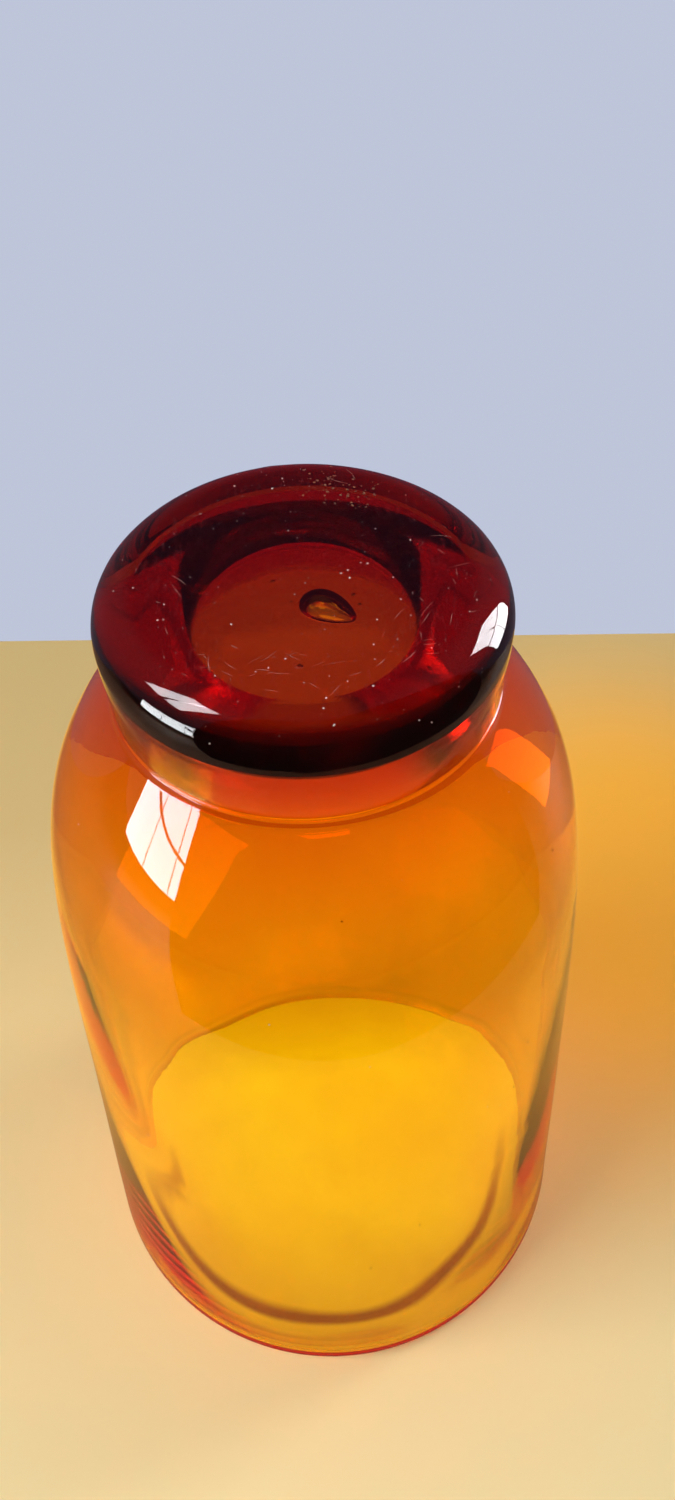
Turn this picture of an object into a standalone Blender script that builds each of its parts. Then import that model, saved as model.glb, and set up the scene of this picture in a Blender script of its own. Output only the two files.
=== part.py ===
"""Specimen jar with a lift-off lid, both of amber glass.

Units are metres, +Z is up, and the origin is the middle of the jar's base. The jar is one blown
vessel: a flat foot ring, walls that lean in slightly, a long round shoulder, a ledge and, above the
ledge, a thick tapered neck. The lid is a second, heavier casting: a thick disc whose skirt fits over
the neck and stands on the ledge. Both are turned about the Z axis.
"""

import math

import bmesh
import bpy
from mathutils import Vector

MM = 0.001
SEGMENTS = 60
GAP = 0.3 * MM
MERGE = 0.001 * MM

# Jar, outside
BASE_RADIUS = 60.0 * MM
FOOT_RING_INNER = 50.0 * MM
PUSH_UP = 1.8 * MM
HEEL_RADIUS = 4.0 * MM
WALL_TOP = Vector((55.5, 80.0)) * MM
SHOULDER_CORNER = Vector((51.0, 164.0)) * MM
LIP_RADIUS = 33.2 * MM
LIP_HEIGHT = 190.5 * MM
LIP_EDGE = 0.7 * MM

# Jar, inside
WALL_THICKNESS = 2.9 * MM
HEEL_EXTRA_THICKNESS = 0.3 * MM
HEEL_EXTRA_REACH = 22.0 * MM
NECK_EXTRA_THICKNESS = 6.5 * MM
NECK_EXTRA_FROM = 140.0 * MM
NECK_BLEND = 180.0 * MM
FLOOR_THICKNESS = 2.6 * MM
FLOOR_RISE = 1.2 * MM
FLOOR_CORNER = 1.8 * MM

# Jar, the tapered neck that the lid fits over
NECK_FOOT_RADIUS = 31.7 * MM
NECK_TOP_RADIUS = 29.3 * MM
NECK_TOP = 199.2 * MM
MOUTH_RADIUS = 18.2 * MM
MOUTH_EDGE_WIDTH = 5.5 * MM
MOUTH_EDGE_DEPTH = 4.0 * MM

# Lid
HEAD_RADIUS = 33.7 * MM
HEAD_FOOT_RADIUS = 33.0 * MM
HEAD_TOP = 210.3 * MM
TOP_FLAT_RADIUS = 26.5 * MM
TOP_DISH = 0.5 * MM
HEAD_EDGE_DROP = 6.8 * MM
SOCKET_FOOT_RADIUS = NECK_FOOT_RADIUS + GAP
SOCKET_TOP_RADIUS = NECK_TOP_RADIUS + GAP
SOCKET_CEILING = NECK_TOP + GAP


def arc(centre, radii, start_deg, end_deg, steps):
    """Points on an axis-aligned ellipse, from one angle to the other."""
    points = []
    for step in range(steps + 1):
        angle = math.radians(start_deg + (end_deg - start_deg) * step / steps)
        points.append(centre + Vector((radii[0] * math.cos(angle), radii[1] * math.sin(angle))))
    return points


def bezier(start, handle_a, handle_b, end, steps):
    """Points on a cubic curve, without its first one."""
    points = []
    for step in range(1, steps + 1):
        t = step / steps
        s = 1.0 - t
        points.append(start * s**3 + handle_a * 3 * s * s * t + handle_b * 3 * s * t * t + end * t**3)
    return points


def offset_inward(points, thickness_at):
    """The inner face of a wall: each outer point moved in along its normal."""
    inner = []
    for before, here, after in zip(points, points[1:], points[2:]):
        along = (after - before).normalized()
        inward = Vector((-along.y, along.x))
        inner.append(here + inward * thickness_at(here.y))
    return inner


def jar_outer_wall():
    """The outside from the heel to the lip, bottom to top."""
    heel_centre = Vector((BASE_RADIUS - HEEL_RADIUS, HEEL_RADIUS))
    wall_foot = Vector((BASE_RADIUS, HEEL_RADIUS))
    lip_foot = Vector((LIP_RADIUS, LIP_HEIGHT - LIP_EDGE))
    points = arc(heel_centre, (HEEL_RADIUS, HEEL_RADIUS), -90, 0, 5)
    points.append((wall_foot + WALL_TOP) / 2)
    points.append(WALL_TOP)
    points += bezier(WALL_TOP, SHOULDER_CORNER, SHOULDER_CORNER, lip_foot, 15)
    return points


def wall_thickness(height):
    """The wall is a little thicker just above the base, and much thicker towards the neck."""
    heel = HEEL_EXTRA_THICKNESS * math.exp(-height / HEEL_EXTRA_REACH)
    neck = max(height - NECK_EXTRA_FROM, 0.0) / (LIP_HEIGHT - NECK_EXTRA_FROM)
    return WALL_THICKNESS + heel + NECK_EXTRA_THICKNESS * neck * neck


def jar_profile():
    """The jar's whole section, from the underside's middle round to the floor's middle."""
    outer = jar_outer_wall()
    underside = [
        Vector((0.0, PUSH_UP)),
        Vector((FOOT_RING_INNER * 0.6, PUSH_UP * 0.64)),
        Vector((FOOT_RING_INNER, 0.0)),
    ]
    ledge = arc(Vector((LIP_RADIUS - LIP_EDGE, LIP_HEIGHT - LIP_EDGE)), (LIP_EDGE, LIP_EDGE), 30, 90, 2)
    neck_head = Vector((NECK_TOP_RADIUS, NECK_TOP - LIP_EDGE))
    neck = [Vector((NECK_FOOT_RADIUS, LIP_HEIGHT))]
    neck += arc(neck_head - Vector((LIP_EDGE, 0.0)), (LIP_EDGE, LIP_EDGE), 0, 90, 3)
    mouth_centre = Vector((MOUTH_RADIUS + MOUTH_EDGE_WIDTH, NECK_TOP - MOUTH_EDGE_DEPTH))
    mouth = arc(mouth_centre, (MOUTH_EDGE_WIDTH, MOUTH_EDGE_DEPTH), 90, 180, 6)
    corner_top = FLOOR_THICKNESS + FLOOR_CORNER
    inner = offset_inward(outer, wall_thickness)
    inner = [point for point in inner if corner_top < point.y < NECK_BLEND][::-1]
    slope = (inner[0] - inner[1]).normalized()
    reach = (mouth[-1] - inner[0]).length * 0.4
    mouth += bezier(mouth[-1], mouth[-1] - Vector((0.0, reach)), inner[0] + slope * reach, inner[0], 6)[:-1]
    wall_radius = BASE_RADIUS - wall_thickness(corner_top)
    corner = arc(
        Vector((wall_radius - FLOOR_CORNER, corner_top)), (FLOOR_CORNER, FLOOR_CORNER), 0, -90, 4,
    )
    floor = [
        Vector((FOOT_RING_INNER * 0.6, FLOOR_THICKNESS + FLOOR_RISE * 0.64)),
        Vector((0.0, FLOOR_THICKNESS + FLOOR_RISE)),
    ]
    return underside + outer + ledge + neck + mouth + inner + corner + floor


def lid_profile():
    """The lid's section, from the top's middle round to the middle of the socket's ceiling."""
    underside_height = LIP_HEIGHT + GAP
    edge_centre = Vector((TOP_FLAT_RADIUS, HEAD_TOP - HEAD_EDGE_DROP))
    edge_radii = (HEAD_RADIUS - TOP_FLAT_RADIUS, HEAD_EDGE_DROP)

    top = [
        Vector((0.0, HEAD_TOP - TOP_DISH)),
        Vector((TOP_FLAT_RADIUS * 0.5, HEAD_TOP - TOP_DISH)),
        Vector((TOP_FLAT_RADIUS * 0.8, HEAD_TOP)),
    ]
    edge = arc(edge_centre, edge_radii, 90, 0, 7)
    side = [
        Vector((HEAD_RADIUS - 0.1 * MM, (HEAD_TOP + underside_height) / 2)),
        Vector((HEAD_FOOT_RADIUS, underside_height + LIP_EDGE)),
    ]
    foot = arc(
        Vector((HEAD_FOOT_RADIUS - LIP_EDGE, underside_height + LIP_EDGE)), (LIP_EDGE, LIP_EDGE), -30, -90, 2,
    )
    socket = [
        Vector((SOCKET_FOOT_RADIUS, underside_height)),
        Vector((SOCKET_TOP_RADIUS, SOCKET_CEILING)),
        Vector((0.0, SOCKET_CEILING)),
    ]
    return top + edge + side + foot + socket


def revolve(name, profile, origin, material):
    """Turns a section about the Z axis into a closed body with its origin on that axis."""
    mesh = bpy.data.meshes.new(name)
    shape = bmesh.new()
    verts = [shape.verts.new((point.x, 0.0, point.y)) for point in profile]
    edges = [shape.edges.new(pair) for pair in zip(verts, verts[1:])]
    bmesh.ops.spin(
        shape, geom=verts + edges, cent=(0, 0, 0), axis=(0, 0, 1),
        angle=math.tau, steps=SEGMENTS, use_merge=True,
    )
    bmesh.ops.remove_doubles(shape, verts=shape.verts, dist=MERGE)
    bmesh.ops.recalc_face_normals(shape, faces=shape.faces)
    bmesh.ops.translate(shape, verts=shape.verts, vec=-origin)
    shape.to_mesh(mesh)
    shape.free()
    mesh.shade_smooth()
    mesh.set_sharp_from_angle(angle=math.radians(40))
    mesh.materials.append(material)
    body = bpy.data.objects.new(name, mesh)
    body.location = origin
    bpy.context.scene.collection.objects.link(body)
    return body


def glass(name, colour):
    """Clear coloured glass."""
    material = bpy.data.materials.new(name)
    material.use_nodes = True
    shader = material.node_tree.nodes["Principled BSDF"]
    shader.inputs["Base Color"].default_value = (*colour, 1.0)
    shader.inputs["Roughness"].default_value = 0.03
    shader.inputs["Metallic"].default_value = 0.0
    shader.inputs["IOR"].default_value = 1.52
    shader.inputs["Transmission Weight"].default_value = 1.0
    return material


def build():
    for item in list(bpy.data.objects):
        bpy.data.objects.remove(item, do_unlink=True)
    revolve("jar", jar_profile(), Vector((0.0, 0.0, 0.0)), glass("amber_glass", (0.83, 0.30, 0.02)))
    revolve("lid", lid_profile(), Vector((0.0, 0.0, LIP_HEIGHT)), glass("dark_amber_glass", (0.20, 0.02, 0.01)))


build()
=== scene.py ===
"""Looks of the amber glass specimen jar: the jar, its thick lid, and a plain studio round them.

Lengths are in metres, or in millimetres times MM. Both glass pieces are turned about the Z axis from
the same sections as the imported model, with many more points, the slight waves of blown glass, and
the bubbles that are trapped in it. The glass has its colour from its depth. The studio has one
brightness for what is seen of it directly, and others for what the glass mirrors or lets through.
"""

import math
import random

import bmesh
import bpy
from mathutils import Matrix, Vector, noise
from mathutils.bvhtree import BVHTree


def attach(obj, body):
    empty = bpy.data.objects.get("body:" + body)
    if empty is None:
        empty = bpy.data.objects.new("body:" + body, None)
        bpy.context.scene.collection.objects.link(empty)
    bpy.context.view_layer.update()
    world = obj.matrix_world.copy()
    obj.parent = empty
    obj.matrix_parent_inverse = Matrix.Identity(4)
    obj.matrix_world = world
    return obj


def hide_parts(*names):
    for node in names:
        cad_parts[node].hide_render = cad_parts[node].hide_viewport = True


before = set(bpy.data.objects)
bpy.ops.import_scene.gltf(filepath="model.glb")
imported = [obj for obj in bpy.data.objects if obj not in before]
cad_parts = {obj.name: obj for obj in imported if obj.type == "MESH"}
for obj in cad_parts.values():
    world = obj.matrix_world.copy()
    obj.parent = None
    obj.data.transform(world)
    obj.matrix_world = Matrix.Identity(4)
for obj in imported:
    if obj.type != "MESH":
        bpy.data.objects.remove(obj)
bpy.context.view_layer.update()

MM = 0.001
SEGMENTS = 256
GAP = 0.3 * MM

# Jar, outside
BASE_RADIUS = 60.0 * MM
FOOT_RING_INNER = 50.0 * MM
PUSH_UP = 1.8 * MM
HEEL_RADIUS = 4.0 * MM
WALL_TOP = Vector((55.5, 80.0)) * MM
SHOULDER_CORNER = Vector((51.0, 164.0)) * MM
LIP_RADIUS = 33.2 * MM
LIP_HEIGHT = 190.5 * MM
LIP_EDGE = 0.7 * MM

# Jar, inside
WALL_THICKNESS = 2.9 * MM
HEEL_EXTRA_THICKNESS = 0.3 * MM
HEEL_EXTRA_REACH = 22.0 * MM
NECK_EXTRA_THICKNESS = 6.5 * MM
NECK_EXTRA_FROM = 140.0 * MM
NECK_BLEND = 180.0 * MM
FLOOR_THICKNESS = 2.6 * MM
FLOOR_RISE = 1.2 * MM
FLOOR_CORNER = 1.8 * MM

# Jar, the tapered neck that the lid fits over
NECK_FOOT_RADIUS = 31.7 * MM
NECK_TOP_RADIUS = 29.3 * MM
NECK_TOP = 199.2 * MM
MOUTH_RADIUS = 18.2 * MM
MOUTH_EDGE_WIDTH = 5.5 * MM
MOUTH_EDGE_DEPTH = 4.0 * MM

# Lid
HEAD_RADIUS = 33.7 * MM
HEAD_FOOT_RADIUS = 33.0 * MM
HEAD_TOP = 210.3 * MM
TOP_FLAT_RADIUS = 26.5 * MM
TOP_DISH = 0.5 * MM
HEAD_EDGE_DROP = 6.8 * MM
SOCKET_FOOT_RADIUS = NECK_FOOT_RADIUS + GAP
SOCKET_TOP_RADIUS = NECK_TOP_RADIUS + GAP
SOCKET_CEILING = NECK_TOP + GAP
CREASE_HEIGHT = 207.3 * MM
WEAR_INNER = 18.0 * MM
WEAR_OUTER = 27.0 * MM

# Glass: what a metre of it takes off red, green and blue light, and the tint of its faces
IOR = 1.52
JAR_ABSORPTION = Vector((8.0, 140.0, 1100.0))
LID_ABSORPTION = Vector((82.0, 260.0, 1100.0))
GLASS_PALE = (1.0, 0.985, 0.94)
GLASS_CORDED = (0.97, 0.93, 0.84)

# Flaws in the glass
JAR_SEED_COUNT = 26
LID_SEED_COUNT = 9
BUBBLE_MIDDLE = Vector((4.0, -4.6, 204.9)) * MM
BUBBLE_RADII = Vector((4.9, 3.3, 2.1)) * MM
BUBBLE_TURN_DEG = -34
BUBBLE_TILT_DEG = 8
BUBBLE_EGG = 0.32
NICK_ANGLE_DEG = 98

# Dirt
LID_DUST_COUNT = 210
JAR_DUST_COUNT = 60
SCRATCH_COUNT = 70
SCRATCH_SIDE_DEG = -85
SMEAR_STREAK_COUNT = 7
SMEAR_ANGLE_DEG = 56
DUST_PALETTE = ((0.62, 0.52, 0.47), (0.80, 0.74, 0.70))
SCRATCH_PALETTE = ((0.22, 0.06, 0.04), (0.50, 0.30, 0.25))
SMEAR_PALETTE = ((0.09, 0.02, 0.01), (0.28, 0.11, 0.04))

# The least number of glass faces that light has gone through when it is inside the wall, has crossed
# the wall and gone on, or has gone through both the lid and the jar
FACES_INSIDE = 1
FACES_BEYOND_WALL = 3
FACES_BEYOND_LID = 6

# Table: its own colours with a painted light falloff from near to far and a painted amber shadow and
# caustic of the jar, the painted reflection that the glass mirrors of it, and the painted light and shade
# of what is seen of it through the glass
STAGE_REACH = 3.0
TABLE_EDGE_Y = 206.0 * MM
TABLE_EDGE_SLOPE = -0.062
# Painted light falloff: the table is painted lighter near the camera and darker far off
TABLE_NEAR_Y = -160.0 * MM
TABLE_FAR_Y = 120.0 * MM
TABLE_NEAR = (0.98, 0.84, 0.45)
TABLE_FAR = (0.68, 0.50, 0.21)
# Painted reflection: the table as the glass mirrors it, dim in front, bright beside the jar, and brighter
# inside the glass
TABLE_SHEEN = (0.26, 0.14, 0.08)
TABLE_SIDE_SHEEN = (0.95, 0.54, 0.10)
TABLE_INNER_SHEEN = (0.80, 0.52, 0.08)
# Painted shade of the table seen through the glass, and painted light added to it there
TABLE_THROUGH_SHARE = 0.84
TABLE_DEEP_SHARE = 0.25
TABLE_LIT_GUIDED = (0.30, 0.60, 0.02)
TABLE_LIT_THROUGH = (0.18, 0.36, 0.01)
# Painted shadow and caustic: the amber shade and glow the jar throws on the table, painted round it
PAINTED_CAUSTIC_MIDDLE = Vector((110.0, 80.0, 0.0)) * MM
PAINTED_CAUSTIC_FROM = 20.0 * MM
PAINTED_CAUSTIC_TO = 150.0 * MM
PAINTED_CAUSTIC_COLOUR = (0.90, 0.46, 0.055)
PAINTED_CAUSTIC_GLOW = (1.0, 0.36, 0.0)
PAINTED_CAUSTIC_GLOW_STRENGTH = 0.19
PAINTED_CAUSTIC_GLOW_THROUGH = 0.06

# Backdrop and world
BACKDROP_COLOUR = (0.515, 0.56, 0.70)
# Painted light and shade of the backdrop as it is seen through the glass
BACKDROP_THROUGH = (0.58, 0.40, 0.30)
BACKDROP_DEEP_MIDDLE = (1.05, 0.90, 0.25)
BACKDROP_DEEP_ASIDE = (0.08, 0.07, 0.07)
WORLD_LOW = (0.52, 0.55, 0.64)
WORLD_HIGH = (0.06, 0.06, 0.07)
WORLD_LEAN = -0.45
WORLD_SHEEN_MIDDLE = (0.07, 0.04, 0.08)
WORLD_SHEEN_ASIDE = (0.14, 0.11, 0.15)
WORLD_INNER_SHEEN = (0.40, 0.30, 0.22)

# The light under the jar, and how far the table's sheet lies under the base
GLOW_RADIUS = 56.8 * MM
GLOW_COLOUR = (1.28, 1.46, 0.02)
GLOW_END_SHARE = 0.66
GLOW_SHADOW = (0.30, 0.06, 0.0)
FLOOR_DROP = 0.05 * MM

# Lamps and the black card
LAMP_TARGET = Vector((0.0, 0.0, 150.0)) * MM
WINDOW_DISTANCE = 0.9
WINDOW_COLOUR = (0.93, 0.97, 1.0)
PANE_WIDTH_SHARE = 0.97
PANE_HEIGHT_SHARE = 0.94
PANE_INNER_GAIN = 8.0
FLAG_RADIUS = 240.0 * MM
FLAG_MIDDLE_Y = 60.0 * MM
FLAG_BOTTOM = 1.0 * MM
FLAG_TOP = 900.0 * MM
FLAG_START_DEG = -40
FLAG_SWEEP_DEG = 110
FLAG_COLOUR = (0.012, 0.010, 0.014)

# Camera
CAMERA_PLACE = Vector((0.0, -142.8, 333.6)) * MM
CAMERA_PITCH_DEG = 49.14
CAMERA_YAW_DEG = 1.92
CAMERA_ROLL_DEG = -1.81
CAMERA_LENS_MM = 28.8
CAMERA_SENSOR_MM = 36.0


# ---------------------------------------------------------------- sections

def arc(centre, radii, start_deg, end_deg, steps):
    """Points on an axis-aligned ellipse, from one angle to the other."""
    points = []
    for step in range(steps + 1):
        angle = math.radians(start_deg + (end_deg - start_deg) * step / steps)
        points.append(centre + Vector((radii[0] * math.cos(angle), radii[1] * math.sin(angle))))
    return points


def bezier(start, handle_a, handle_b, end, steps):
    """Points on a cubic curve, without its first one."""
    points = []
    for step in range(1, steps + 1):
        t = step / steps
        s = 1.0 - t
        points.append(start * s**3 + handle_a * 3 * s * s * t + handle_b * 3 * s * t * t + end * t**3)
    return points


def line(start, end, steps):
    """Points on a straight line, without its first one."""
    return [start.lerp(end, step / steps) for step in range(1, steps + 1)]


def offset_inward(points, thickness_at):
    """The inner face of a wall: each outer point moved in along its normal."""
    inner = []
    for before, here, after in zip(points, points[1:], points[2:]):
        along = (after - before).normalized()
        inward = Vector((-along.y, along.x))
        inner.append(here + inward * thickness_at(here.y))
    return inner


def jar_outer_wall():
    """The outside from the heel to the lip, bottom to top."""
    heel_centre = Vector((BASE_RADIUS - HEEL_RADIUS, HEEL_RADIUS))
    wall_foot = Vector((BASE_RADIUS, HEEL_RADIUS))
    lip_foot = Vector((LIP_RADIUS, LIP_HEIGHT - LIP_EDGE))
    points = arc(heel_centre, (HEEL_RADIUS, HEEL_RADIUS), -90, 0, 20)
    points += line(wall_foot, WALL_TOP, 34)
    points += bezier(WALL_TOP, SHOULDER_CORNER, SHOULDER_CORNER, lip_foot, 84)
    return points


def wall_thickness(height):
    """The wall is a little thicker just above the base, and much thicker towards the neck."""
    heel = HEEL_EXTRA_THICKNESS * math.exp(-height / HEEL_EXTRA_REACH)
    neck = max(height - NECK_EXTRA_FROM, 0.0) / (LIP_HEIGHT - NECK_EXTRA_FROM)
    return WALL_THICKNESS + heel + NECK_EXTRA_THICKNESS * neck * neck


def jar_section():
    """The jar's whole section, from the underside's middle round to the floor's middle."""
    outer = jar_outer_wall()
    middle = Vector((0.0, PUSH_UP))
    ring = Vector((FOOT_RING_INNER, 0.0))
    leaving = Vector((FOOT_RING_INNER * 0.5, PUSH_UP))
    arriving = Vector((FOOT_RING_INNER * 0.85, 0.0))
    underside = [middle] + bezier(middle, leaving, arriving, ring, 16)
    ledge = arc(Vector((LIP_RADIUS - LIP_EDGE, LIP_HEIGHT - LIP_EDGE)), (LIP_EDGE, LIP_EDGE), 10, 90, 6)
    neck_foot = Vector((NECK_FOOT_RADIUS, LIP_HEIGHT))
    neck_head = Vector((NECK_TOP_RADIUS, NECK_TOP - LIP_EDGE))
    neck = [neck_foot] + line(neck_foot, neck_head, 8)
    neck += arc(neck_head - Vector((LIP_EDGE, 0.0)), (LIP_EDGE, LIP_EDGE), 0, 90, 8)[1:]
    mouth_centre = Vector((MOUTH_RADIUS + MOUTH_EDGE_WIDTH, NECK_TOP - MOUTH_EDGE_DEPTH))
    mouth = arc(mouth_centre, (MOUTH_EDGE_WIDTH, MOUTH_EDGE_DEPTH), 90, 180, 24)
    corner_top = FLOOR_THICKNESS + FLOOR_CORNER
    inner = offset_inward(outer, wall_thickness)
    inner = [point for point in inner if corner_top < point.y < NECK_BLEND][::-1]
    slope = (inner[0] - inner[1]).normalized()
    reach = (mouth[-1] - inner[0]).length * 0.4
    leaving = mouth[-1] - Vector((0.0, reach))
    mouth += bezier(mouth[-1], leaving, inner[0] + slope * reach, inner[0], 20)[:-1]
    wall_radius = BASE_RADIUS - wall_thickness(corner_top)
    corner_centre = Vector((wall_radius - FLOOR_CORNER, corner_top))
    corner = arc(corner_centre, (FLOOR_CORNER, FLOOR_CORNER), 0, -90, 14)
    floor_edge = corner[-1]
    floor_middle = Vector((0.0, FLOOR_THICKNESS + FLOOR_RISE))
    leaving = Vector((floor_edge.x * 0.6, floor_edge.y))
    arriving = Vector((floor_edge.x * 0.4, floor_middle.y))
    floor = bezier(floor_edge, leaving, arriving, floor_middle, 24)
    return underside + outer + ledge + neck + mouth + inner + corner + floor


def lid_section():
    """The lid's section, from the top's middle round to the middle of the socket's ceiling."""
    underside_height = LIP_HEIGHT + GAP
    edge_centre = Vector((TOP_FLAT_RADIUS, HEAD_TOP - HEAD_EDGE_DROP))
    edge_radii = (HEAD_RADIUS - TOP_FLAT_RADIUS, HEAD_EDGE_DROP)

    middle = Vector((0.0, HEAD_TOP - TOP_DISH))
    dish_rim = Vector((TOP_FLAT_RADIUS * 0.8, HEAD_TOP))
    leaving = Vector((TOP_FLAT_RADIUS * 0.55, middle.y))
    arriving = Vector((TOP_FLAT_RADIUS * 0.62, HEAD_TOP))
    top = [middle] + bezier(middle, leaving, arriving, dish_rim, 20)
    edge = line(top[-1], Vector((TOP_FLAT_RADIUS, HEAD_TOP)), 4)
    edge += arc(edge_centre, edge_radii, 90, 0, 72)[1:]
    side_foot = Vector((HEAD_FOOT_RADIUS, underside_height + LIP_EDGE))
    side = line(edge[-1], Vector((HEAD_RADIUS - 0.1 * MM, (HEAD_TOP + underside_height) / 2)), 6)
    side += line(side[-1], side_foot, 8)
    foot_centre = Vector((HEAD_FOOT_RADIUS - LIP_EDGE, underside_height + LIP_EDGE))
    foot = arc(foot_centre, (LIP_EDGE, LIP_EDGE), -10, -90, 6)
    socket_foot = Vector((SOCKET_FOOT_RADIUS, underside_height))
    socket_head = Vector((SOCKET_TOP_RADIUS, SOCKET_CEILING))
    socket = [socket_foot] + line(socket_foot, socket_head, 10)
    socket += line(socket_head, Vector((0.0, SOCKET_CEILING)), 24)
    return top + edge + side + foot + socket


# ---------------------------------------------------------------- meshes

def turned(shape, section, wave):
    """Turns a section that starts and ends on the axis into a closed skin.

    wave(point, angle) gives each point's radius and height.
    """
    rings = []
    for point in section[1:-1]:
        ring = []
        for step in range(SEGMENTS):
            angle = math.tau * step / SEGMENTS
            radius, height = wave(point, angle)
            ring.append(shape.verts.new((radius * math.cos(angle), radius * math.sin(angle), height)))
        rings.append(ring)
    for lower, upper in zip(rings, rings[1:]):
        for step in range(SEGMENTS):
            after = (step + 1) % SEGMENTS
            shape.faces.new((lower[step], lower[after], upper[after], upper[step]))
    for pole_point, ring, flip in ((section[0], rings[0], True), (section[-1], rings[-1], False)):
        pole = shape.verts.new((0.0, 0.0, wave(pole_point, 0.0)[1]))
        for step in range(SEGMENTS):
            after = (step + 1) % SEGMENTS
            corners = (ring[step], ring[after], pole)
            shape.faces.new(corners[::-1] if flip else corners)


def bubble(shape, centre, radii, turn_deg, tilt_deg, steps, egg=0.0):
    """A closed hollow in the glass, so its faces point into it. egg makes one end the fuller."""
    place = Matrix.Translation(centre) @ Matrix.Rotation(math.radians(turn_deg), 4, "Z")
    place = place @ Matrix.Rotation(math.radians(tilt_deg), 4, "Y")

    def skin(latitude, longitude):
        level = math.cos(latitude)
        x, y, z = level * math.cos(longitude), level * math.sin(longitude), math.sin(latitude)
        fuller = 1.0 - egg * x
        return shape.verts.new(place @ Vector((x * radii[0], y * radii[1] * fuller, z * radii[2] * fuller)))

    around = steps * 2
    rings = []
    for level in range(1, steps):
        latitude = math.pi * (level / steps - 0.5)
        rings.append([skin(latitude, math.tau * step / around) for step in range(around)])
    bottom, top = skin(-math.pi / 2, 0.0), skin(math.pi / 2, 0.0)
    for step in range(around):
        after = (step + 1) % around
        for lower, upper in zip(rings, rings[1:]):
            shape.faces.new((lower[step], upper[step], upper[after], lower[after]))
        shape.faces.new((bottom, rings[0][step], rings[0][after]))
        shape.faces.new((top, rings[-1][after], rings[-1][step]))


def finished(name, shape, material, body):
    """Makes an object of a bmesh, smooth shaded, that rides on a body."""
    mesh = bpy.data.meshes.new(name)
    shape.to_mesh(mesh)
    shape.free()
    mesh.shade_smooth()
    mesh.set_sharp_from_angle(angle=math.radians(50))
    mesh.materials.append(material)
    piece = bpy.data.objects.new(name, mesh)
    bpy.context.scene.collection.objects.link(piece)
    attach(piece, body)
    return piece


def ramp_up(value, low, high):
    """0 below low, 1 above high and a smooth step between."""
    t = min(max((value - low) / (high - low), 0.0), 1.0)
    return t * t * (3.0 - 2.0 * t)


def jar_wave(inside_from):
    """The waves of a blown wall, which fade out at the foot and at the ground mouth."""
    def wave(point, angle):
        radius, height = point
        fade = ramp_up(height, 3 * MM, 25 * MM) * (1.0 - ramp_up(height, 150 * MM, 176 * MM))
        swing = 0.16 * math.sin(2 * angle + 0.7 + height / (60 * MM))
        swing += 0.10 * math.sin(3 * angle - 1.1 + height / (23 * MM))
        swing += 0.05 * math.sin(5 * angle + height / (14 * MM))
        if radius < inside_from(height):
            swing = 0.20 * math.sin(2 * angle - 0.9 + height / (45 * MM))
            swing += 0.14 * math.sin(4 * angle + 2.0 - height / (26 * MM))
            swing += 0.06 * math.sin(9 * angle + height / (11 * MM))
        return radius + swing * fade * MM, height
    return wave


def lid_wave(point, angle):
    """The pressed top is not quite flat, and the head's side is a little uneven."""
    radius, height = point
    if height < LIP_HEIGHT + 3 * MM:
        return radius, height
    fade = ramp_up(height, LIP_HEIGHT + 3 * MM, LIP_HEIGHT + 9 * MM)
    place = Vector((radius * math.cos(angle), radius * math.sin(angle), height)) / (24 * MM)
    lift = 0.14 * MM * fade * (noise.noise(place) - 0.2)
    if radius < TOP_FLAT_RADIUS or height < SOCKET_CEILING + 2 * MM:
        return radius, height + lift
    crease = math.exp(-(((height - CREASE_HEIGHT - lift) / (0.35 * MM)) ** 2))
    off_nick = math.remainder(angle - math.radians(NICK_ANGLE_DEG), math.tau) * radius / (1.6 * MM)
    nick = math.exp(-off_nick * off_nick) * math.exp(-(((height - CREASE_HEIGHT) / (1.3 * MM)) ** 2))
    return radius + 0.04 * MM * crease + 0.35 * MM * nick, height + lift


def mid_wall(height):
    """The radius of the middle of the wall at a height, near enough to tell the two faces apart."""
    outer = jar_outer_wall()
    for low, high in zip(outer, outer[1:]):
        if low.y <= height <= high.y:
            share = (height - low.y) / max(high.y - low.y, 1e-9)
            return low.x + (high.x - low.x) * share - wall_thickness(height) / 2
    return 0.0


# ---------------------------------------------------------------- materials

def own_place(tree):
    """A point's place in the object's own coordinates."""
    return tree.nodes.new("ShaderNodeTexCoord").outputs["Object"]


def noise_field(tree, place, stretch, scale, detail):
    """The values of a noise that is stretched along the axes."""
    spread = tree.nodes.new("ShaderNodeMapping")
    spread.inputs["Scale"].default_value = stretch
    tree.links.new(place, spread.inputs["Vector"])
    field = tree.nodes.new("ShaderNodeTexNoise")
    field.inputs["Scale"].default_value = scale
    field.inputs["Detail"].default_value = detail
    tree.links.new(spread.outputs["Vector"], field.inputs["Vector"])
    return field.outputs["Fac"]


def mapped(tree, value, from_low, from_high, to_low, to_high, interpolation="LINEAR"):
    """A value carried from one range to another, clamped at both ends."""
    carry = tree.nodes.new("ShaderNodeMapRange")
    carry.interpolation_type = interpolation
    carry.inputs["From Min"].default_value = from_low
    carry.inputs["From Max"].default_value = from_high
    carry.inputs["To Min"].default_value = to_low
    carry.inputs["To Max"].default_value = to_high
    tree.links.new(value, carry.inputs["Value"])
    return carry.outputs["Result"]


def combined(tree, operation, first, second):
    """Two values, or a value and a number, put together."""
    made = tree.nodes.new("ShaderNodeMath")
    made.operation = operation
    tree.links.new(first, made.inputs[0])
    if isinstance(second, float):
        made.inputs[1].default_value = second
    else:
        tree.links.new(second, made.inputs[1])
    return made.outputs[0]


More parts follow.
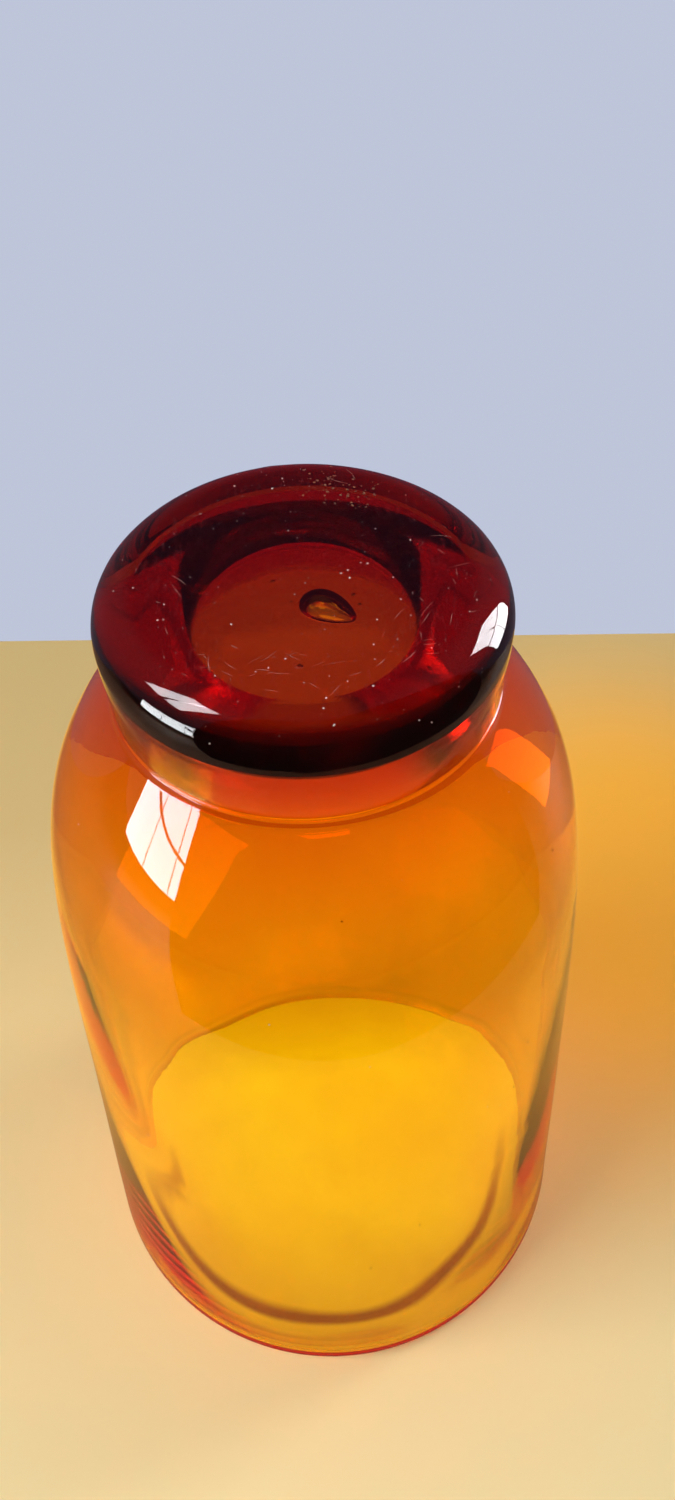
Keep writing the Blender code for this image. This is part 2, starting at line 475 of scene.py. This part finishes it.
def blended(tree, share, low, high):
    """A mix of two colours, each of them given as a colour or as a socket."""
    made = tree.nodes.new("ShaderNodeMix")
    made.data_type = "RGBA"
    for name, colour in (("A", low), ("B", high)):
        if isinstance(colour, tuple):
            made.inputs[name].default_value = (*colour, 1.0)
        else:
            tree.links.new(colour, made.inputs[name])
    tree.links.new(share, made.inputs["Factor"])
    return made.outputs["Result"]


def split_axes(tree, vector):
    """The X, Y and Z sockets of a vector."""
    split = tree.nodes.new("ShaderNodeSeparateXYZ")
    tree.links.new(vector, split.inputs["Vector"])
    return split.outputs["X"], split.outputs["Y"], split.outputs["Z"]


def off_zero(tree, value):
    """A value without its sign."""
    return combined(tree, "ABSOLUTE", value, 0.0)


def off_axis(tree, x, y):
    """The distance from the Z axis."""
    squares = combined(tree, "ADD", combined(tree, "POWER", x, 2.0), combined(tree, "POWER", y, 2.0))
    return combined(tree, "SQRT", squares, 0.0)


def worn_mask(tree, radius, height):
    """1 on the worn ring of the lid's top face, 0 elsewhere."""
    rise = mapped(tree, radius, WEAR_INNER - 2 * MM, WEAR_INNER + 2 * MM, 0.0, 1.0)
    fall = mapped(tree, radius, WEAR_OUTER - 1 * MM, WEAR_OUTER + 3 * MM, 1.0, 0.0)
    top = mapped(tree, height, HEAD_TOP - 1 * MM, HEAD_TOP, 0.0, 1.0)
    return combined(tree, "MULTIPLY", combined(tree, "MULTIPLY", rise, fall), top)


def socket_mask(tree, radius, height):
    """1 on the faces of the lid's socket, 0 elsewhere."""
    low = mapped(tree, height, SOCKET_CEILING + 0.4 * MM, SOCKET_CEILING + 0.6 * MM, 1.0, 0.0)
    within = mapped(tree, radius, SOCKET_FOOT_RADIUS + 0.1 * MM, SOCKET_FOOT_RADIUS + 0.3 * MM, 1.0, 0.0)
    return combined(tree, "MULTIPLY", low, within)


def glass(name, absorption, is_lid=False):
    """Clear amber glass with faint cords and smudges.

    The lid is also scuffed with hair scratches on a ring of its top face, and satin inside its socket.
    """
    material = bpy.data.materials.new(name)
    material.use_nodes = True
    tree = material.node_tree
    shader = tree.nodes["Principled BSDF"]
    output = tree.nodes["Material Output"]
    shader.inputs["IOR"].default_value = IOR
    shader.inputs["Transmission Weight"].default_value = 1.0

    place = own_place(tree)
    cords = noise_field(tree, place, (1.0, 1.0, 0.22), 70.0, 4.0)
    smudges = noise_field(tree, place, (1.0, 1.0, 1.0), 38.0, 5.0)
    grain = noise_field(tree, place, (1.0, 1.0, 1.0), 900.0, 2.0)
    tint = blended(tree, mapped(tree, cords, 0.35, 0.65, 0.0, 1.0), GLASS_PALE, GLASS_CORDED)
    tree.links.new(tint, shader.inputs["Base Color"])

    rough = mapped(tree, smudges, 0.5, 0.75, 0.0, 0.05)
    rough = combined(tree, "MULTIPLY", rough, mapped(tree, grain, 0.3, 0.7, 0.4, 1.0))
    relief = combined(tree, "MULTIPLY", cords, 0.6)
    if is_lid:
        x, y, height = split_axes(tree, place)
        radius = off_axis(tree, x, y)
        hairs = noise_field(tree, place, (1.0, 0.25, 1.0), 1500.0, 2.0)
        scuffs = mapped(tree, hairs, 0.56, 0.66, 0.0, 1.0)
        scuffs = combined(tree, "MULTIPLY", scuffs, worn_mask(tree, radius, height))
        rough = combined(tree, "MAXIMUM", rough, combined(tree, "MULTIPLY", scuffs, 0.22))
        relief = combined(tree, "SUBTRACT", relief, combined(tree, "MULTIPLY", scuffs, 0.08))
        satin = mapped(tree, grain, 0.3, 0.7, 0.10, 0.16)
        satin = combined(tree, "MULTIPLY", satin, socket_mask(tree, radius, height))
        rough = combined(tree, "MAXIMUM", rough, satin)
    tree.links.new(rough, shader.inputs["Roughness"])
    add_bump(tree, relief, 0.35, 0.12 * MM)

    density = max(absorption) * 1.02
    inside = tree.nodes.new("ShaderNodeVolumeAbsorption")
    inside.inputs["Color"].default_value = (*(1.0 - taken / density for taken in absorption), 1.0)
    inside.inputs["Density"].default_value = density
    tree.links.new(inside.outputs["Volume"], output.inputs["Volume"])
    return material


def add_bump(tree, relief, strength, distance):
    """Fine relief on a surface, from a height."""
    bump = tree.nodes.new("ShaderNodeBump")
    bump.inputs["Strength"].default_value = strength
    bump.inputs["Distance"].default_value = distance
    tree.links.new(relief, bump.inputs["Height"])
    tree.links.new(bump.outputs["Normal"], tree.nodes["Principled BSDF"].inputs["Normal"])


def speckle(name, palette, scale):
    """Dry dirt on the glass: mottled, rough and grainy."""
    material = matt(name, palette[0], 0.8)
    tree = material.node_tree
    shader = tree.nodes["Principled BSDF"]
    mottle = noise_field(tree, own_place(tree), (1.0, 1.0, 1.0), scale, 4.0)
    tint = blended(tree, mapped(tree, mottle, 0.35, 0.65, 0.0, 1.0), *palette)
    tree.links.new(tint, shader.inputs["Base Color"])
    tree.links.new(mapped(tree, mottle, 0.3, 0.7, 0.9, 0.55), shader.inputs["Roughness"])
    add_bump(tree, mottle, 0.5, 0.05 * MM)
    return material


def matt(name, colour, roughness):
    """A dry, opaque surface."""
    material = bpy.data.materials.new(name)
    material.use_nodes = True
    shader = material.node_tree.nodes["Principled BSDF"]
    shader.inputs["Base Color"].default_value = (*colour, 1.0)
    shader.inputs["Roughness"].default_value = roughness
    return material


# ---------------------------------------------------------------- pieces

def make_jar(material):
    """The jar, with seeds trapped in the middle of its wall."""
    shape = bmesh.new()
    section = jar_section()
    radii = {}

    def inside_from(height):
        key = round(height / (0.5 * MM))
        if key not in radii:
            radii[key] = mid_wall(height)
        return radii[key]

    turned(shape, section, jar_wave(inside_from))
    bmesh.ops.recalc_face_normals(shape, faces=shape.faces)
    dice = random.Random(3)
    for _ in range(JAR_SEED_COUNT):
        height = dice.uniform(12, 165) * MM
        x, y = polar(mid_wall(height), dice.uniform(0, 360))
        size = dice.uniform(0.10, 0.28) * MM
        seed = Vector((size, size, size * dice.uniform(1.2, 2.6)))
        bubble(shape, Vector((x, y, height)), seed, turn_deg=0, tilt_deg=0, steps=6)
    jar = finished("amber_jar", shape, material, "jar_body")
    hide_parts("jar")
    return jar


def make_lid(material):
    """The lid, with its big bubble and its seeds."""
    shape = bmesh.new()
    turned(shape, lid_section(), lid_wave)
    bmesh.ops.recalc_face_normals(shape, faces=shape.faces)
    bubble(
        shape, BUBBLE_MIDDLE, BUBBLE_RADII,
        turn_deg=BUBBLE_TURN_DEG, tilt_deg=BUBBLE_TILT_DEG, steps=24, egg=BUBBLE_EGG,
    )
    dice = random.Random(5)
    for _ in range(LID_SEED_COUNT):
        x, y = polar(dice.uniform(4, 26) * MM, dice.uniform(0, 360))
        size = dice.uniform(0.12, 0.32) * MM
        seed = Vector((size * dice.uniform(1.0, 1.8), size, size))
        middle = Vector((x, y, dice.uniform(201.5, 208.0) * MM))
        bubble(shape, middle, seed, turn_deg=dice.uniform(0, 180), tilt_deg=0, steps=7)
    lid = finished("amber_lid", shape, material, "lid_body")
    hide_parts("lid")
    return lid


def skin_of(piece):
    """A piece's surface, ready to be met by rays."""
    mesh = piece.data
    corners = [vert.co for vert in mesh.vertices]
    return BVHTree.FromPolygons(corners, [face.vertices[:] for face in mesh.polygons])


def surface_point(skin, x, y):
    """Where a plumb line at x, y meets a skin from above, and the way the skin faces there."""
    place, normal, _, _ = skin.ray_cast(Vector((x, y, 0.3)), Vector((0.0, 0.0, -1.0)))
    return (place, normal) if place else None


def polar(radius, angle_deg):
    """The x and y of a point at an angle from the X axis."""
    return radius * math.cos(math.radians(angle_deg)), radius * math.sin(math.radians(angle_deg))


def add_speck(shape, place, normal, size, flat, dice):
    """One crumb, half sunk into the skin."""
    made = bmesh.ops.create_icosphere(shape, subdivisions=1, radius=1.0)
    turn = normal.to_track_quat("Z", "Y").to_matrix()
    spin = Matrix.Rotation(dice.uniform(0, math.tau), 3, "Z")
    long = dice.uniform(0.7, 1.5)
    for vert in made["verts"]:
        lump = 1.0 + dice.uniform(-0.25, 0.25)
        local = Vector((vert.co.x * long, vert.co.y, vert.co.z * flat)) * size * lump
        vert.co = place + turn @ (spin @ local)


def add_scratch(shape, skin, x, y, heading_deg, length, width, dice):
    """A hair scratch with raised, dusty lips: a thin sliver on the skin, tapered to its ends."""
    steps = max(4, int(length / (0.6 * MM)))
    bend = dice.uniform(-30, 30)
    rings = []
    for step in range(steps + 1):
        share = step / steps
        found = surface_point(skin, x, y)
        if not found:
            break
        place, normal = found
        heading = math.radians(heading_deg + bend * share)
        along = Vector((math.cos(heading), math.sin(heading), 0.0))
        side = along.cross(normal).normalized()
        half = width * 0.5 * (0.15 + math.sin(math.pi * share))
        offsets = (side * half, normal * 0.025 * MM, -side * half, -normal * 0.03 * MM)
        rings.append([shape.verts.new(place + offset) for offset in offsets])
        x += along.x * length / steps
        y += along.y * length / steps
    for before, after in zip(rings, rings[1:]):
        for corner in range(4):
            following = (corner + 1) % 4
            shape.faces.new((before[corner], before[following], after[following], after[corner]))
    if len(rings) > 1:
        shape.faces.new(rings[0][::-1])
        shape.faces.new(rings[-1])


def make_dirt(jar, lid):
    """What has settled on the glass: dust, hair scratches in the worn ring and a dried smear."""
    dice = random.Random(11)
    lid_skin, jar_skin = skin_of(lid), skin_of(jar)
    dust = speckle("dust", DUST_PALETTE, 4000.0)
    lips = speckle("scratch_lips", SCRATCH_PALETTE, 1500.0)
    smear = speckle("dried_smear", SMEAR_PALETTE, 2500.0)

    shape = bmesh.new()
    for _ in range(LID_DUST_COUNT):
        radius = HEAD_RADIUS * min(math.sqrt(dice.random()), 0.985)
        found = surface_point(lid_skin, *polar(radius, dice.uniform(0, 360)))
        size = 0.045 * MM + 0.13 * MM * dice.random() ** 4
        add_speck(shape, *found, size, 0.7, dice)
    settled(shape, "lid_dust", dust, "lid_body")

    shape = bmesh.new()
    for _ in range(SCRATCH_COUNT):
        angle = dice.gauss(SCRATCH_SIDE_DEG, 60)
        radius = dice.uniform(WEAR_INNER - 1 * MM, WEAR_OUTER)
        heading = angle + dice.gauss(90, 32)
        length = 0.6 * MM + 3.6 * MM * dice.random() ** 2
        width = dice.uniform(0.03, 0.075) * MM
        add_scratch(shape, lid_skin, *polar(radius, angle), heading, length, width, dice)
    settled(shape, "lid_scratches", lips, "lid_body")

    shape = bmesh.new()
    for streak in range(SMEAR_STREAK_COUNT):
        lean = SMEAR_ANGLE_DEG + 4.6 * streak + dice.uniform(-2, 2)
        start = dice.uniform(18, 23) * MM
        for crumb in range(dice.randrange(7, 15)):
            radius = start + crumb * dice.uniform(0.45, 0.8) * MM
            found = surface_point(lid_skin, *polar(min(radius, 32.6 * MM), lean + dice.gauss(0, 1.6)))
            add_speck(shape, *found, dice.uniform(0.08, 0.26) * MM, 0.12, dice)
    settled(shape, "lid_smear", smear, "lid_body")

    shape = bmesh.new()
    for _ in range(JAR_DUST_COUNT):
        radius = dice.uniform(35, 56) * MM
        found = surface_point(jar_skin, *polar(radius, dice.uniform(0, 360)))
        size = 0.05 * MM + 0.10 * MM * dice.random() ** 4
        add_speck(shape, *found, size, 0.7, dice)
    settled(shape, "jar_dust", dust, "jar_body")


def settled(shape, name, material, body):
    """Finishes a piece of dirt."""
    bmesh.ops.recalc_face_normals(shape, faces=shape.faces)
    piece = finished(name, shape, material, body)


# ---------------------------------------------------------------- stage

def plate(name, corners, height, material):
    """A flat sheet of the stage."""
    shape = bmesh.new()
    shape.faces.new([shape.verts.new((x, y, height)) for x, y in corners])
    mesh = bpy.data.meshes.new(name)
    shape.to_mesh(mesh)
    shape.free()
    mesh.materials.append(material)
    made = bpy.data.objects.new(name, mesh)
    bpy.context.scene.collection.objects.link(made)
    return made


def crossed(tree, faces):
    """1 for light that has gone through at least this many faces of glass, 0 for other light."""
    depth = tree.nodes.new("ShaderNodeLightPath").outputs["Transmission Depth"]
    return mapped(tree, depth, faces - 0.6, faces - 0.4, 0.0, 1.0)


def ray_kind(tree, kind):
    """1 for rays of a kind, 0 for other rays."""
    return tree.nodes.new("ShaderNodeLightPath").outputs[f"Is {kind} Ray"]


def seen_through(tree):
    """1 for what is seen through any glass, and 1 for what is seen through both the lid and the jar."""
    through = ray_kind(tree, "Transmission")
    return through, combined(tree, "MULTIPLY", through, crossed(tree, FACES_BEYOND_LID))


def table_material():
    """Pale wood, painted lighter near and darker far as a painted light falloff, and painted amber round
    the jar as the shadow and caustic it throws, with a painted glow there.

    What the glass mirrors of it is a painted reflection, dim in front and bright beside the jar. What is
    seen of it through the jar has painted light added, and what is seen of it through the lid is painted
    dark as painted shade.
    """
    material = matt("table", TABLE_NEAR, 0.5)
    tree = material.node_tree
    shader = tree.nodes["Principled BSDF"]
    shader.inputs["Specular IOR Level"].default_value = 0.1
    place = own_place(tree)
    x, y, _ = split_axes(tree, place)
    through, deep = seen_through(tree)

    reach = tree.nodes.new("ShaderNodeVectorMath")
    reach.operation = "DISTANCE"
    reach.inputs[1].default_value = PAINTED_CAUSTIC_MIDDLE
    tree.links.new(place, reach.inputs[0])
    # Painted shadow and caustic of the jar: amber round the jar's right and back
    painted_caustic = mapped(tree, reach.outputs["Value"], PAINTED_CAUSTIC_FROM, PAINTED_CAUSTIC_TO, 1.0, 0.0, "SMOOTHERSTEP")
    # Painted light falloff: lighter near, darker far
    painted_falloff = blended(tree, mapped(tree, y, TABLE_NEAR_Y, TABLE_FAR_Y, 0.0, 1.0), TABLE_NEAR, TABLE_FAR)
    direct = blended(tree, painted_caustic, painted_falloff, PAINTED_CAUSTIC_COLOUR)

    # Painted reflection: the glass mirrors the table dim in front and bright beside the jar
    off_middle = off_zero(tree, x)
    beside = mapped(tree, off_middle, 50 * MM, 90 * MM, 0.0, 1.0)
    beside = combined(tree, "MULTIPLY", beside, mapped(tree, off_middle, 120 * MM, 170 * MM, 1.0, 0.0))
    behind = mapped(tree, y, -100 * MM, -40 * MM, 0.0, 1.0)
    outer = blended(tree, combined(tree, "MULTIPLY", beside, behind), TABLE_SHEEN, TABLE_SIDE_SHEEN)
    mirrored = blended(tree, crossed(tree, FACES_INSIDE), outer, TABLE_INNER_SHEEN)

    # Painted shade: the table is darker seen through the jar and much darker seen through the lid
    share = mapped(tree, through, 0.0, 1.0, 1.0, TABLE_THROUGH_SHARE)
    share = combined(tree, "MULTIPLY", share, mapped(tree, deep, 0.0, 1.0, 1.0, TABLE_DEEP_SHARE))
    dimmed = tree.nodes.new("ShaderNodeVectorMath")
    dimmed.operation = "SCALE"
    tree.links.new(blended(tree, ray_kind(tree, "Glossy"), direct, mirrored), dimmed.inputs["Vector"])
    tree.links.new(share, dimmed.inputs["Scale"])
    tree.links.new(dimmed.outputs["Vector"], shader.inputs["Base Color"])

    # Painted caustic light: the table glows amber round the jar though no lamp lights it so
    shader.inputs["Emission Color"].default_value = (*PAINTED_CAUSTIC_GLOW, 1.0)
    strength = mapped(tree, through, 0.0, 1.0, PAINTED_CAUSTIC_GLOW_STRENGTH, PAINTED_CAUSTIC_GLOW_THROUGH)
    tree.links.new(combined(tree, "MULTIPLY", painted_caustic, strength), shader.inputs["Emission Strength"])

    # Painted light: an emission added to the table where it is seen through the jar
    lit = tree.nodes.new("ShaderNodeEmission")
    lit_colour = blended(tree, crossed(tree, FACES_BEYOND_WALL), TABLE_LIT_GUIDED, TABLE_LIT_THROUGH)
    tree.links.new(lit_colour, lit.inputs["Color"])
    tree.links.new(combined(tree, "SUBTRACT", through, deep), lit.inputs["Strength"])
    both = tree.nodes.new("ShaderNodeAddShader")
    tree.links.new(shader.outputs["BSDF"], both.inputs[0])
    tree.links.new(lit.outputs["Emission"], both.inputs[1])
    tree.links.new(both.outputs["Shader"], tree.nodes["Material Output"].inputs["Surface"])
    return material


def glowing(name, colour):
    """An even light card."""
    material = matt(name, (0.0, 0.0, 0.0), 1.0)
    shader = material.node_tree.nodes["Principled BSDF"]
    shader.inputs["Specular IOR Level"].default_value = 0.0
    shader.inputs["Emission Color"].default_value = (*colour, 1.0)
    shader.inputs["Emission Strength"].default_value = 1.0
    return material


def backdrop_material():
    """An even pale card.

    Seen through the glass it takes painted light and shade: through the lid and the jar it is painted
    bright behind their middle and dark at their sides.
    """
    material = glowing("backdrop", BACKDROP_COLOUR)
    tree = material.node_tree
    x, _, _ = split_axes(tree, own_place(tree))
    aside = mapped(tree, off_zero(tree, x), 50 * MM, 140 * MM, 0.0, 1.0)
    through, deep = seen_through(tree)
    look = blended(tree, through, BACKDROP_COLOUR, BACKDROP_THROUGH)
    look = blended(tree, deep, look, blended(tree, aside, BACKDROP_DEEP_MIDDLE, BACKDROP_DEEP_ASIDE))
    tree.links.new(look, tree.nodes["Principled BSDF"].inputs["Emission Color"])
    return material


def glow_material():
    """The light under the jar: strongest in its middle, with a brown shadow along the near foot ring."""
    material = glowing("glow", GLOW_COLOUR)
    tree = material.node_tree
    shader = tree.nodes["Principled BSDF"]
    x, y, _ = split_axes(tree, own_place(tree))
    radius = off_axis(tree, x, y)
    ends = mapped(tree, off_zero(tree, y), GLOW_RADIUS * 0.3, GLOW_RADIUS, 1.0, GLOW_END_SHARE)
    rise = mapped(tree, radius, FOOT_RING_INNER - 4.2 * MM, FOOT_RING_INNER - 2.2 * MM, 0.0, 1.0)
    fall = mapped(tree, radius, FOOT_RING_INNER - 0.8 * MM, FOOT_RING_INNER + 0.8 * MM, 1.0, 0.0)
    near = mapped(tree, y, -20 * MM, 0.0, 1.0, 0.0)
    shadow = combined(tree, "MULTIPLY", combined(tree, "MULTIPLY", rise, fall), near)
    tree.links.new(blended(tree, shadow, GLOW_COLOUR, GLOW_SHADOW), shader.inputs["Emission Color"])
    tree.links.new(ends, shader.inputs["Emission Strength"])
    return material


def make_flag():
    """A black card on the camera's side, which only reflections meet, so that the glass shows its edges."""
    shape = bmesh.new()
    steps = 24
    low, high = [], []
    for step in range(steps + 1):
        angle = math.radians(FLAG_START_DEG + FLAG_SWEEP_DEG * step / steps)
        x, y = FLAG_RADIUS * math.sin(angle), FLAG_MIDDLE_Y - FLAG_RADIUS * math.cos(angle)
        low.append(shape.verts.new((x, y, FLAG_BOTTOM)))
        high.append(shape.verts.new((x, y, FLAG_TOP)))
    for step in range(steps):
        shape.faces.new((low[step], low[step + 1], high[step + 1], high[step]))
    mesh = bpy.data.meshes.new("flag")
    shape.to_mesh(mesh)
    shape.free()
    mesh.materials.append(matt("flag", FLAG_COLOUR, 0.9))
    flag = bpy.data.objects.new("flag", mesh)
    bpy.context.scene.collection.objects.link(flag)
    flag.visible_camera = False
    flag.visible_diffuse = False
    flag.visible_transmission = False
    flag.visible_shadow = False


def soft_light(name, azimuth, elevation, distance, width, height, radiance, colour=(1, 1, 1)):
    """A soft box that faces the jar. Azimuth 0 is the -Y side and 90 is +X, both in degrees."""
    light = bpy.data.lights.new(name, "AREA")
    light.shape = "RECTANGLE"
    light.size = width
    light.size_y = height
    light.energy = radiance * math.pi * width * height
    light.color = colour
    lamp = bpy.data.objects.new(name, light)
    bpy.context.scene.collection.objects.link(lamp)
    a, e = math.radians(azimuth), math.radians(elevation)
    towards = Vector((math.sin(a) * math.cos(e), -math.cos(a) * math.cos(e), math.sin(e)))
    lamp.location = towards * distance + LAMP_TARGET
    lamp.rotation_mode = "QUATERNION"
    lamp.rotation_quaternion = towards.to_track_quat("Z", "Y")
    lamp.visible_camera = False
    return lamp


def window(name, azimuth, elevation, width_deg, height_deg, radiance, columns, rows):
    """A window as the glass mirrors it: panes of light with thin bars between them."""
    width = 2 * WINDOW_DISTANCE * math.tan(math.radians(width_deg / columns / 2)) * PANE_WIDTH_SHARE
    height = 2 * WINDOW_DISTANCE * math.tan(math.radians(height_deg / rows / 2)) * PANE_HEIGHT_SHARE
    for column in range(columns):
        for row in range(rows):
            pane_azimuth = azimuth + width_deg * ((column + 0.5) / columns - 0.5)
            pane_elevation = elevation + height_deg * ((row + 0.5) / rows - 0.5)
            squeeze = math.cos(math.radians(pane_elevation))
            pane = soft_light(
                f"{name}_{column}_{row}", pane_azimuth, pane_elevation, WINDOW_DISTANCE,
                width * squeeze, height, radiance, WINDOW_COLOUR,
            )
            pane.visible_diffuse = False
            pane.visible_transmission = False
            pane.data.use_nodes = True
            tree = pane.data.node_tree
            gain = mapped(tree, crossed(tree, FACES_INSIDE), 0.0, 1.0, 1.0, PANE_INNER_GAIN)
            tree.links.new(gain, tree.nodes["Emission"].inputs["Strength"])


def make_world():
    """Pale low down and dark overhead, and dim all round for what the glass mirrors."""
    world = bpy.data.worlds.new("studio")
    bpy.context.scene.world = world
    world.use_nodes = True
    tree = world.node_tree
    x, y, z = split_axes(tree, tree.nodes.new("ShaderNodeTexCoord").outputs["Generated"])
    rise = combined(tree, "ADD", combined(tree, "MULTIPLY", y, WORLD_LEAN), z)
    direct = blended(tree, mapped(tree, rise, 0.15, 0.55, 0.0, 1.0), WORLD_LOW, WORLD_HIGH)
    aside = mapped(tree, off_zero(tree, x), 0.12, 0.45, 0.0, 1.0)
    outer = blended(tree, aside, WORLD_SHEEN_MIDDLE, WORLD_SHEEN_ASIDE)
    mirrored = blended(tree, crossed(tree, FACES_INSIDE), outer, WORLD_INNER_SHEEN)
    look = blended(tree, ray_kind(tree, "Glossy"), direct, mirrored)
    tree.links.new(look, tree.nodes["Background"].inputs["Color"])


def make_camera():
    """A wide lens close to the jar, which looks down on it and a little to the right."""
    pitch, yaw, roll = (
        math.radians(angle) for angle in (CAMERA_PITCH_DEG, CAMERA_YAW_DEG, CAMERA_ROLL_DEG)
    )
    forward = Vector((math.sin(yaw) * math.cos(pitch), math.cos(yaw) * math.cos(pitch), -math.sin(pitch)))
    right = forward.cross(Vector((0.0, 0.0, 1.0))).normalized()
    up = right.cross(forward)
    right_rolled = right * math.cos(roll) + up * math.sin(roll)
    up_rolled = up * math.cos(roll) - right * math.sin(roll)
    data = bpy.data.cameras.new("camera")
    data.sensor_width = CAMERA_SENSOR_MM
    data.lens = CAMERA_LENS_MM
    data.clip_start = 10.0 * MM
    camera = bpy.data.objects.new("camera", data)
    bpy.context.scene.collection.objects.link(camera)
    turn = Matrix((right_rolled, up_rolled, -forward)).transposed()
    camera.matrix_world = Matrix.Translation(CAMERA_PLACE) @ turn.to_4x4()
    bpy.context.scene.camera = camera


def make_stage():
    """The table, the backdrop behind it, the light under the jar, the black card and the lamps."""
    left = (-STAGE_REACH, TABLE_EDGE_Y - TABLE_EDGE_SLOPE * STAGE_REACH)
    right = (STAGE_REACH, TABLE_EDGE_Y + TABLE_EDGE_SLOPE * STAGE_REACH)
    corners = [(-STAGE_REACH, -STAGE_REACH), (STAGE_REACH, -STAGE_REACH), right, left]
    plate("table", corners, -FLOOR_DROP, table_material())
    corners = [left, right, (STAGE_REACH, STAGE_REACH), (-STAGE_REACH, STAGE_REACH)]
    backdrop = plate("backdrop", corners, -FLOOR_DROP, backdrop_material())
    backdrop.visible_glossy = False
    steps = 96
    rim = [polar(GLOW_RADIUS, 360 * step / steps) for step in range(steps)]
    plate("glow", rim, -FLOOR_DROP / 2, glow_material())
    make_flag()
    lamps = (
        soft_light("window_left", -68, 30, distance=0.9, width=0.60, height=0.80, radiance=6.0),
        soft_light("window_right", 112, 16, distance=0.9, width=0.25, height=0.45, radiance=10.0),
        soft_light("ceiling", 10, 72, distance=1.1, width=0.28, height=0.28, radiance=8.0),
    )
    for lamp in lamps:
        lamp.visible_glossy = False
    window("shine_left_high", -84, 50, width_deg=30, height_deg=26, radiance=12.0, columns=2, rows=1)
    window("shine_left_low", -65, 6, width_deg=38, height_deg=18, radiance=16.0, columns=3, rows=2)
    window("shine_right", 114, 20, width_deg=21, height_deg=42, radiance=15.0, columns=2, rows=2)
    make_world()


amber = glass("amber_glass", JAR_ABSORPTION)
dark_amber = glass("dark_amber_glass", LID_ABSORPTION, is_lid=True)
jar = make_jar(amber)
lid = make_lid(dark_amber)
make_dirt(jar, lid)
make_stage()
make_camera()

scene = bpy.context.scene
scene.view_settings.view_transform = "Standard"
scene.cycles.max_bounces = 32
scene.cycles.transmission_bounces = 32
scene.cycles.glossy_bounces = 16
scene.cycles.use_denoising = True
